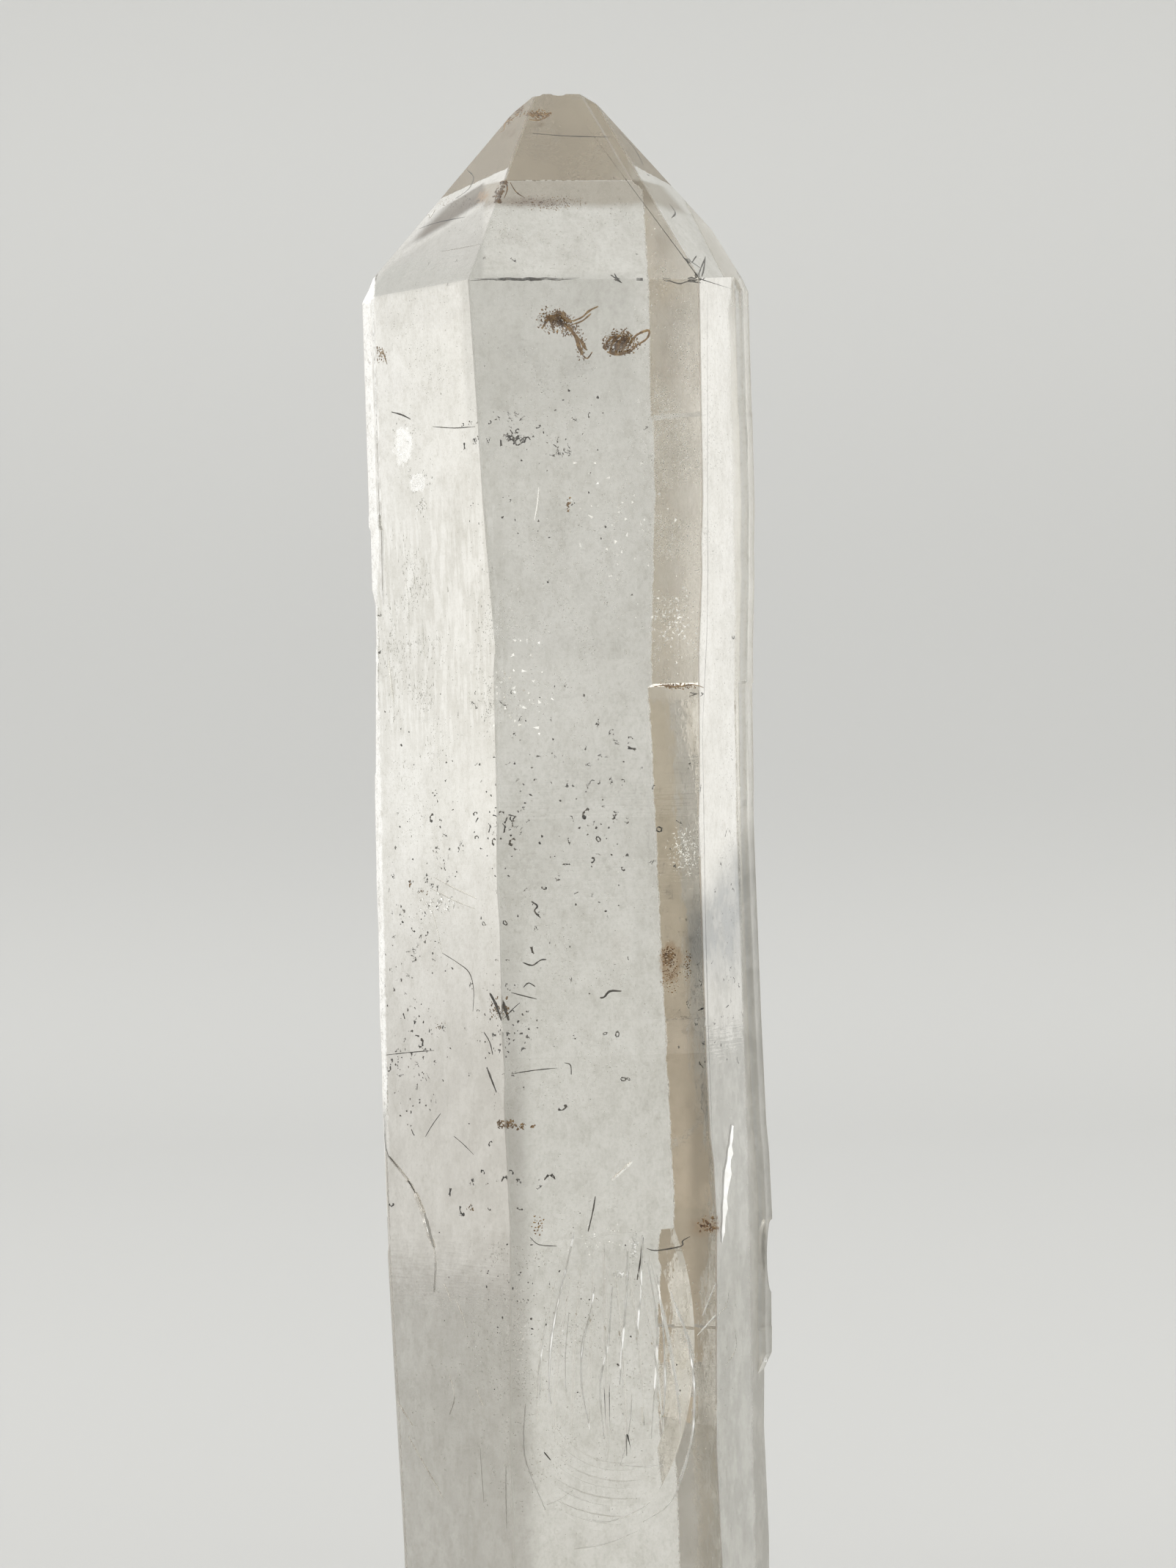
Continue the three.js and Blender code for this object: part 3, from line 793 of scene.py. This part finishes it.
# The rusty clay: brown and ochre crumbs of iron-stained clay packed in the two surface pits, at
# the chipped tip and in old cracks, with a few strings of it that run on into the crystal.
# A heap is its middle and half size in the picture, a count, a range of widths and a depth.
heap_depth = 0.9
clay_heaps = [
    ((758, 437), (27, 15), 380, (0.07, 0.22), 0.25),
    ((776, 448), (20, 12), 120, (0.07, 0.20), 0.4),
    ((793, 472), (8, 22), 110, (0.06, 0.18), 0.4),
    ((846, 468), (24, 17), 480, (0.07, 0.24), 0.25),
    ((512, 484), (18, 16), 150, (0.06, 0.22), 0.4),
    ((735, 156), (17, 7), 110, (0.08, 0.28), 0.3),
    ((708, 152), (9, 9), 60, (0.08, 0.28), 0.3),
    ((691, 165), (9, 6), 40, (0.08, 0.24), 0.3),
    ((679, 266), (9, 15), 34, (0.12, 0.34), 0.4),
    ((685, 249), (5, 5), 10, (0.15, 0.3), 0.4),
    ((750, 277), (55, 12), 220, (0.05, 0.13), 0.4),
    ((630, 276), (44, 10), 150, (0.05, 0.12), 0.4),
    ((923, 936), (32, 5), 120, (0.06, 0.18), 0.25),
    ((912, 1304), (12, 14), 150, (0.08, 0.20), 1.5),
    ((914, 1326), (15, 30), 130, (0.06, 0.16), 1.5),
    ((938, 1318), (7, 22), 60, (0.06, 0.16), 1.5),
    ((676, 1376), (8, 16), 40, (0.10, 0.24), 1.2),
    ((700, 1536), (30, 5), 26, (0.12, 0.34), 1.5),
    ((683, 1531), (8, 4), 12, (0.15, 0.3), 1.5),
    ((966, 1672), (15, 14), 34, (0.12, 0.34), 0.6),
    ((736, 1670), (13, 17), 26, (0.08, 0.24), 0.6),
    ((642, 1648), (6, 5), 10, (0.12, 0.25), 1.0),
    ((560, 1205), (4, 10), 8, (0.12, 0.25), 1.0),
    ((579, 1217), (8, 5), 8, (0.1, 0.22), 1.0),
    ((775, 688), (4, 12), 14, (0.12, 0.28), 1.5),
    ((602, 1401), (10, 6), 8, (0.08, 0.2), 1.0),
]
clay_strings = [
    (0.40, 0.5, [(741, 446), (747, 436), (756, 431), (768, 432), (779, 440)]),
    (0.36, 0.5, [(750, 433), (763, 440), (776, 447), (783, 458)]),
    (0.30, 0.5, [(745, 430), (752, 440), (754, 450)]),
    (0.26, 0.6, [(758, 428), (764, 438), (768, 449)]),
    (0.20, 0.6, [(776, 438), (792, 434), (804, 424), (816, 418)]),
    (0.16, 0.6, [(780, 443), (794, 438), (806, 428)]),
    (0.34, 0.6, [(780, 450), (786, 462), (790, 474), (795, 484)]),
    (0.26, 0.6, [(784, 456), (794, 468), (800, 478)]),
    (0.16, 0.7, [(794, 484), (801, 489), (808, 480)]),
    (0.34, 0.4, [(826, 478), (829, 466), (838, 458)]),
    (0.34, 0.4, [(832, 482), (836, 468), (845, 457)]),
    (0.36, 0.4, [(840, 482), (844, 469), (852, 458)]),
    (0.36, 0.4, [(848, 480), (853, 468), (859, 460)]),
    (0.30, 0.4, [(856, 476), (860, 468), (864, 461)]),
    (0.24, 0.4, [(828, 480), (842, 484), (856, 479), (866, 469)]),
    (0.22, 0.5, [(862, 462), (872, 455), (885, 451), (882, 462), (868, 471)]),
    (0.20, 0.4, [(713, 147), (704, 158), (692, 166), (682, 171)]),
    (0.16, 0.4, [(722, 163), (735, 164), (750, 157)]),
    (0.14, 0.4, [(497, 472), (500, 484), (503, 496)]),
    (0.14, 0.4, [(509, 474), (513, 486), (514, 498)]),
    (0.14, 0.4, [(521, 474), (524, 485), (528, 497)]),
    (0.12, 0.3, [(892, 937), (906, 935), (925, 937), (944, 934), (960, 938)]),
    (0.12, 0.8, [(696, 249), (704, 262), (716, 270)]),
    (0.12, 0.8, [(688, 270), (692, 258), (690, 246)]),
]


def rusty_clay():
    material, place = new_material("rusty_clay")
    mottle = place.noise((0.6, 0.6, 0.6), 4.0, 0.65)
    stops = [(0.3, (0.13, 0.07, 0.03)), (0.5, (0.36, 0.21, 0.08)), (0.7, (0.70, 0.49, 0.23))]
    sockets = {
        "Base Color": place.node("ValToRGB", {"stops": stops}, {0: mottle}),
        "Roughness": 0.7 + mottle * 0.3,
    }
    place.principled(sockets)
    return material


chance = random.Random(23)
rust = rusty_clay()
clay = []
for middle, half, count, widths, depth in clay_heaps:
    spots = spots_in_band(middle, half, count)
    clay += fleck_places(spots, crumb_kinds, (depth, depth + heap_depth), widths, 0.7)
joined_copies("rusty_clay", fleck_shapes, clay, rust)
strands("clay_strings", clay_strings, 0.8, rust)


# The bright cracks: thin silvery sheets of air in healed cracks, which mirror the light. With them
# go white streaks along the crystal's edges, partly bruised quartz and partly painted highlights,
# and white threads of painted highlight on the crests of the ribs that fan out over the
# shell-shaped scar low on the front face.
crack_lines = [
    (0.36, 0.6, [(524, 1571), (543, 1593), (556, 1610), (566, 1627), (575, 1652)]),
    (0.80, 0.6, [(566, 1627), (572, 1642), (579, 1662), (585, 1684), (593, 1702)]),
    (0.30, 0.7, [(591, 1700), (594, 1723), (592, 1763)]),
    (0.16, 0.8, [(605, 1751), (611, 1763), (615, 1776)]),
    (0.16, 0.8, [(621, 1772), (631, 1795), (635, 1811)]),
    (0.14, 0.8, [(650, 1895), (655, 1908), (660, 1920)]),
    (0.16, 0.8, [(613, 1875), (620, 1905), (613, 1930)]),
    (0.18, 0.5, [(541, 1910), (552, 1928), (563, 1945)]),
    (0.16, 0.5, [(557, 1960), (580, 2000), (605, 2045)]),
    (0.16, 0.6, [(1026, 1640), (1025, 1660), (1024, 1681)]),
    (0.30, 1.5, [(835, 1610), (848, 1598), (862, 1585)]),
    (0.18, 0.6, [(994, 1762), (990, 1783), (972, 1799), (951, 1822)]),
    (0.18, 0.7, [(915, 1762), (925, 1793), (939, 1824), (947, 1854)]),
    (0.14, 0.7, [(976, 1751), (967, 1773), (958, 1795)]),
    (0.16, 0.6, [(1002, 1813), (1004, 1840), (990, 1862)]),
    (0.26, 0.5, [(582, 294), (587, 286), (592, 278)]),
    (0.12, 0.5, [(602, 343), (630, 338), (655, 333)]),
    (0.14, 0.8, [(590, 1245), (597, 1272), (603, 1300)]),
    (0.14, 2.0, [(735, 665), (733, 688), (729, 710)]),
    (0.14, 1.0, [(590, 1196), (620, 1212), (650, 1226)]),
    (0.12, 1.0, [(588, 1212), (618, 1228), (648, 1240)]),
    (0.22, 1.0, [(553, 790), (556, 820), (558, 850)]),
    (0.16, 1.0, [(576, 845), (577, 870), (579, 900)]),
    (0.30, 1.0, [(530, 900), (533, 930), (537, 960)]),
    (0.14, 1.0, [(596, 1012), (598, 1032), (600, 1052)]),
    (0.14, 1.0, [(640, 940), (641, 955), (642, 968)]),
]
# White streaks along the edges, partly bruised quartz and partly painted highlights; the two widest
# are painted glints.
edge_and_glint_lines = [
    (0.14, 0.25, [(965, 400), (965, 640), (965, 828), (961, 930), (958, 1000)]),
    (0.16, 0.25, [(958, 990), (960, 1110), (962, 1240), (966, 1400), (972, 1560)]),
    (0.22, 0.30, [(1013, 400), (1017, 560), (1020, 700), (1020, 828)]),
    (0.18, 0.30, [(1020, 800), (1019, 968), (1022, 1060), (1024, 1150)]),
    (1.10, 0.15, [(984, 1695), (986, 1660), (989, 1610), (994, 1572), (998, 1535)]),
    (0.40, 0.15, [(579, 1655), (585, 1678), (591, 1700)]),
]
# Painted highlights: white threads along the crests of the scar's ribs.
rib_highlight_lines = [
    (0.26, 0.06, [
        (783, 1681), (773, 1726), (763, 1766), (755, 1806), (750, 1847), (749, 1900), (752, 1915),
    ]),
    (0.22, 0.06, [(811, 1756), (803, 1799), (794, 1835), (793, 1889), (805, 1950)]),
    (0.22, 0.06, [(835, 1755), (829, 1835), (818, 1889), (824, 1963)]),
    (0.24, 0.06, [(856, 1707), (853, 1782), (845, 1889)]),
    (0.20, 0.06, [(876, 1685), (875, 1728), (869, 1835)]),
    (0.22, 0.06, [(883, 1723), (893, 1782), (896, 1835), (888, 1963)]),
    (0.22, 0.06, [(896, 1739), (904, 1808), (907, 1889), (904, 1931)]),
    (0.26, 0.06, [(920, 1776), (934, 1814), (944, 1862), (947, 1915), (942, 1969), (925, 2022)]),
    (0.16, 0.08, [(717, 1915), (714, 1956), (718, 1996), (744, 2060)]),
    (0.16, 0.08, [(944, 1958), (936, 1996), (915, 2049), (877, 2076)]),
    (0.14, 0.08, [(803, 2072), (830, 2076), (871, 2060), (887, 2049)]),
    (0.12, 0.08, [(844, 1998), (875, 2001), (905, 1998)]),
    (0.12, 0.08, [(746, 2053), (764, 2045), (781, 2033)]),
    (0.14, 0.08, [(783, 2113), (826, 2106), (871, 2088)]),
    (0.12, 0.08, [(655, 1975), (657, 2010), (660, 2050)]),
    (0.12, 0.08, [(690, 2000), (690, 2040), (691, 2085)]),
    (0.12, 0.08, [(745, 1790), (738, 1850), (736, 1910)]),
    (0.12, 0.08, [(776, 1790), (771, 1850), (772, 1900)]),
    (0.12, 0.08, [(862, 1900), (858, 1950), (846, 2000)]),
]


def silvery_crack():
    material, place = new_material("silvery_crack")
    grain = place.noise((0.35, 0.35, 0.35), 4.0, 0.7)
    colour = grain.step(0.3, 0.7).mixed((0.84, 0.83, 0.81, 1.0), (0.98, 0.98, 0.97, 1.0))
    place.principled({"Base Color": colour, "Metallic": 0.9, "Roughness": 0.1 + grain * 0.35})
    return material


silver = silvery_crack()
white = crushed_quartz("pale_flake_and_highlight", (1.2, 1.2, 1.2), (0.88, 0.87, 0.84), (0.99, 0.99, 0.98), 0.4)
strands("bright_cracks", crack_lines, 0.35, silver)
strands("white_edges_and_painted_glints", edge_and_glint_lines, 0.5, white)
strands("scar_rib_painted_highlights", rib_highlight_lines, 0.5, white)


# The pale veils: clouds of tiny flat flakes along healed growth layers, too small to see one by
# one, which make the clear quartz silky on the left face and frosty towards the upper right. White
# flakes on the faces, partly scuffs and partly painted glints, and spangles that catch the light
# are made of the same flakes.
cloud_grain = 34.0
cloud_stretch = 1.6
cloud_edge = (-0.25, 0.35)
flake_thickness = 0.4
upright = 6.0
upright_sway = 0.12

# A cloud is its middle and half size in the picture, a count, ranges of depths and widths, and how
# long its flakes may be for their width. Flakes of the upright length all stand up.
veil_clouds = [
    ((905, 640), (62, 300), 4200, (0.5, 12.0), (0.05, 0.14), 1.2),
    ((770, 820), (115, 240), 2600, (0.5, 12.0), (0.05, 0.14), 1.5),
    ((740, 520), (110, 150), 1200, (0.5, 12.0), (0.05, 0.12), 1.5),
    ((670, 900), (30, 130), 500, (0.5, 6.0), (0.06, 0.20), 1.5),
    ((565, 880), (50, 200), 1500, (0.5, 6.0), (0.05, 0.11), upright),
    ((575, 1050), (62, 400), 1800, (0.5, 8.0), (0.05, 0.12), 1.5),
    ((570, 520), (60, 160), 800, (0.5, 8.0), (0.05, 0.12), 1.5),
    ((790, 1350), (140, 320), 2200, (0.5, 12.0), (0.05, 0.12), 1.5),
    ((760, 1860), (240, 240), 2600, (0.5, 12.0), (0.05, 0.14), 2.0),
    ((740, 310), (170, 60), 900, (0.5, 8.0), (0.05, 0.14), 1.5),
    ((990, 1000), (24, 560), 1200, (0.5, 5.0), (0.05, 0.12), 2.0),
]
# White flakes on the faces, partly scuffs and partly painted glints.
scuffs_and_glints = [
    ((547, 602), (19, 33), 60, (0.0, 0.05), (0.08, 0.26), 1.5),
    ((571, 655), (20, 20), 70, (0.0, 0.05), (0.08, 0.26), 1.5),
    ((576, 690), (9, 12), 26, (0.0, 0.05), (0.08, 0.22), 2.0),
    ((865, 1700), (6, 22), 50, (0.0, 0.05), (0.08, 0.22), 2.0),
    ((846, 1738), (14, 5), 30, (0.0, 0.05), (0.08, 0.22), 2.0),
    ((1043, 1850), (5, 12), 24, (0.0, 0.05), (0.08, 0.2), 2.0),
    ((655, 1850), (9, 22), 18, (0.0, 0.05), (0.06, 0.16), 2.0),
    ((600, 1235), (30, 16), 60, (0.0, 0.05), (0.06, 0.2), 4.0),
]
bright_clouds = [
    ((934, 1160), (27, 38), 170, (0.5, 3.0), (0.04, 0.10), 5.0),
    ((922, 850), (38, 70), 120, (0.5, 4.0), (0.05, 0.14), 4.0),
    ((706, 1815), (15, 95), 120, (0.4, 3.0), (0.05, 0.12), 3.0),
    ((676, 1712), (14, 20), 40, (0.4, 2.0), (0.06, 0.16), 1.5),
    ((820, 1690), (70, 24), 50, (0.5, 2.0), (0.05, 0.14), 1.5),
    ((700, 930), (60, 90), 60, (0.5, 8.0), (0.08, 0.26), 2.5),
    ((850, 700), (90, 160), 70, (0.5, 8.0), (0.08, 0.26), 2.5),
]


def flake_shape(seed):
    bpy.ops.mesh.primitive_cone_add(vertices=3, radius1=0.6, depth=0.12)
    return crushed_shape(seed, 0.06)


def drifts(spot):
    """Whether a flake lies here: the flakes gather in drifts, with clearer quartz between them."""
    across, up = spot[0] / cloud_grain, spot[1] / (cloud_stretch * cloud_grain)
    return noise.noise(Vector((across, up, 0.0))) > chance.uniform(*cloud_edge)


def flake_places(clouds, in_drifts, sway):
    """Shape numbers and matrices for the flakes of some clouds, which lean by about the sway."""
    places = []
    for middle, half, count, depths, widths, stretch in clouds:
        for spot in spots_in_band(middle, half, count):
            if in_drifts and not drifts(spot):
                continue
            place, inward = seen_at(spot, chance.uniform(*depths))
            width = chance.uniform(*widths) * mm
            size = (width, width * chance.uniform(1.0, stretch), width * flake_thickness)
            lean = (chance.gauss(0.0, sway), chance.gauss(0.0, sway))
            if stretch == upright:
                spin = chance.gauss(0.0, upright_sway)
            else:
                spin = chance.uniform(0.0, math.tau)
            which = chance.randrange(len(flake_shapes))
            places.append((which, set_down(place, inward, size, spin, lean)))
    return places


chance = random.Random(37)
flake_shapes = [flake_shape(seed) for seed in (1, 2, 3)]
joined_copies("pale_veils", flake_shapes, flake_places(veil_clouds, True, 0.5), white)
joined_copies("white_scuffs_and_painted_glints", flake_shapes, flake_places(scuffs_and_glints, False, 0.3), white)
joined_copies("bright_spangles", flake_shapes, flake_places(bright_clouds, False, 0.1), silver)
remove_shapes(fleck_shapes + flake_shapes)


# The studio: a pale floor that sweeps up behind the crystal, with painted shadow where it bends, a
# pale surround and one large soft light. Two glowing boards, which stand in for white boards under
# light, brighten the side faces, the right one with a glowing sheet at its foot, and a warm grey
# card gives a darker edge. Lengths are in metres, and bearings in degrees.
floor_front, floor_back, floor_half_width = -6.0, 8.0, 7.0
floor_gap = 0.05 * mm
sweep_front, sweep_start, sweep_lead = -1.5, 0.62, 0.1
sweep_half_width = 0.8
sweep_radius = 0.45
sweep_height = 1.3
sweep_steps = 16
board_glow = 0.94
foot_start = 0.30
light_place, light_size, light_watts = (-0.7, -0.5, 1.1), (0.7, 0.7), 3.5
light_aim = (0.0, 0.0, 0.07)
bounces_in_all, bounces_in_quartz = 32, 24

# The bearing, the distance, the width and the height of each board.
left_board = (-46.0, 0.75, 0.36, 0.6)
right_board = (42.0, 0.75, 0.24, 0.6)
grey_card = (-120.0, 0.25, 0.16, 0.25)


def surround():
    """A pale surround: brightest behind the camera, darkest straight behind the crystal."""
    world = bpy.data.worlds.new("soft_surround")
    bpy.context.scene.world = world
    world.use_nodes = True
    world.node_tree.nodes.clear()
    direction = Wire(world.node_tree).node("TexCoord", output="Generated")
    forward, upward = direction.axis(1), direction.axis(2)
    sides = [
        (0.0, (1.4, 1.4, 1.37)),
        (0.36, (1.2, 1.2, 1.18)),
        (0.5, (0.85, 0.85, 0.83)),
        (0.75, (0.96, 0.96, 0.945)),
        (0.88, (1.0, 1.0, 0.985)),
        (0.97, (0.66, 0.66, 0.645)),
    ]
    heights = [
        (0.0, (0.8, 0.8, 0.8)),
        (0.5, (0.95, 0.95, 0.95)),
        (0.6, (1.0, 1.0, 1.0)),
        (1.0, (1.5, 1.5, 1.5)),
    ]
    across = direction.node("ValToRGB", {"stops": sides}, {0: forward * 0.5 + 0.5})
    rising = direction.node("ValToRGB", {"stops": heights}, {0: upward * 0.5 + 0.5})
    colour = across.vector("MULTIPLY", rising)
    background = direction.node("Background", {}, {"Color": colour, "Strength": 1.0})
    direction.node("OutputWorld", {}, {"Surface": background})


def plain_finish(name, colour):
    """Matt paper in one pale colour, with a painted shadow a shade deeper low down where it turns up
    behind.
    """
    material, place = new_material(name)
    height = place.axis(2)
    bend_shade = height.step(8.0, 90.0) * height.step(330.0, 110.0)
    deeper = tuple(0.86 * part for part in colour)
    shade = bend_shade.mixed((*colour, 1.0), (*deeper, 1.0))
    place.principled({"Base Color": shade, "Roughness": 0.85})
    return material


def glowing_board():
    """A glowing board that stands in for white card under a soft light; its glow is painted weaker
    near the crystal.
    """
    material, place = new_material("glowing_board")
    light = place.vector("LENGTH").step(270.0, 400.0)
    colour = light.mixed((0.72, 0.71, 0.69, 1.0), (1.0, 0.995, 0.975, 1.0))
    glow = place.node("Emission", {}, {"Color": colour, "Strength": board_glow})
    place.node("OutputMaterial", {}, {"Surface": glow})
    return material


def warm_card():
    """Warm grey card with painted light: paler toward the floor, where its own shade falls."""
    material, place = new_material("warm_grey")
    painted_lighter, deeper = (0.95, 0.84, 0.70, 1.0), (0.55, 0.49, 0.395, 1.0)
    colour = place.axis(2).step(-10.0, 80.0).mixed(painted_lighter, deeper)
    place.principled({"Base Color": colour, "Roughness": 0.9})
    return material


def sheet_along(name, profile, low, high, material):
    """A sheet whose outline in y and z is the profile, from x = low to x = high."""
    points = [Vector((x, y, z)) for y, z in profile for x in (low, high)]
    faces = [(2 * i, 2 * i + 1, 2 * i + 3, 2 * i + 2) for i in range(len(profile) - 1)]
    mesh = bpy.data.meshes.new(name)
    mesh.from_pydata(points, [], faces)
    for face in mesh.polygons:
        face.use_smooth = True
    sheet = bpy.data.objects.new(name, mesh)
    bpy.context.scene.collection.objects.link(sheet)
    mesh.materials.append(material)
    return sheet


def turned_sheet(name, bearing, profile, width, material):
    """A sheet that the camera doesn't see, turned to a bearing from straight behind the crystal."""
    sheet = sheet_along(name, profile, -width / 2, width / 2, material)
    sheet.data.transform(Matrix.Rotation(-math.radians(bearing), 4, "Z"))
    sheet.visible_camera = False
    return sheet


def standing_board(name, bearing, distance, width, height, material):
    """An upright board that faces the crystal."""
    return turned_sheet(name, bearing, [(distance, 0.0), (distance, height)], width, material)


def soft_light(name, place, size, watts):
    """A square light that is aimed at the crystal's middle."""
    lamp = bpy.data.lights.new(name, "AREA")
    lamp.shape = "RECTANGLE"
    lamp.size, lamp.size_y = size
    lamp.energy = watts
    light = bpy.data.objects.new(name, lamp)
    bpy.context.scene.collection.objects.link(light)
    light.location = place
    aim = Vector(light_aim) - Vector(place)
    light.rotation_euler = aim.to_track_quat("-Z", "Y").to_euler()


surround()
pale = plain_finish("pale_floor", (0.5, 0.5, 0.492))
floor_profile = [(floor_front, -2.0 * floor_gap), (floor_back, -2.0 * floor_gap)]
sheet_along("floor", floor_profile, -floor_half_width, floor_half_width, pale)
turns = [math.radians(90.0) * i / sweep_steps for i in range(sweep_steps + 1)]
sweep_profile = [(sweep_front, 0.0), (sweep_start - sweep_lead, 0.0)]
sweep_profile += [
    (sweep_start + sweep_radius * math.sin(turn), sweep_radius * (1.0 - math.cos(turn)))
    for turn in turns
]
sweep_profile.append((sweep_start + sweep_radius, sweep_height))
sweep_profile = [(y, z - floor_gap) for y, z in sweep_profile]
sheet_along("sweep", sweep_profile, -sweep_half_width, sweep_half_width, pale)

board = glowing_board()
standing_board("left_board", *left_board, board)
standing_board("right_board", *right_board, board)

# The sheet at the right board's foot lights the crystal only, and leaves the floor as it is.
bearing, distance, width, _ = right_board
foot = turned_sheet("right_foot", bearing, [(foot_start, 0.0), (distance, 0.0)], width, board)
foot.visible_shadow = False
foot.visible_diffuse = False
standing_board("grey_card", *grey_card, warm_card())
soft_light("large_soft_light", light_place, light_size, light_watts)

# Light passes through many faces inside the quartz, so it may bounce more often than usual.
bpy.context.scene.view_settings.view_transform = "Standard"
bpy.context.scene.cycles.max_bounces = bounces_in_all
bpy.context.scene.cycles.glossy_bounces = bounces_in_quartz
bpy.context.scene.cycles.transmission_bounces = bounces_in_quartz
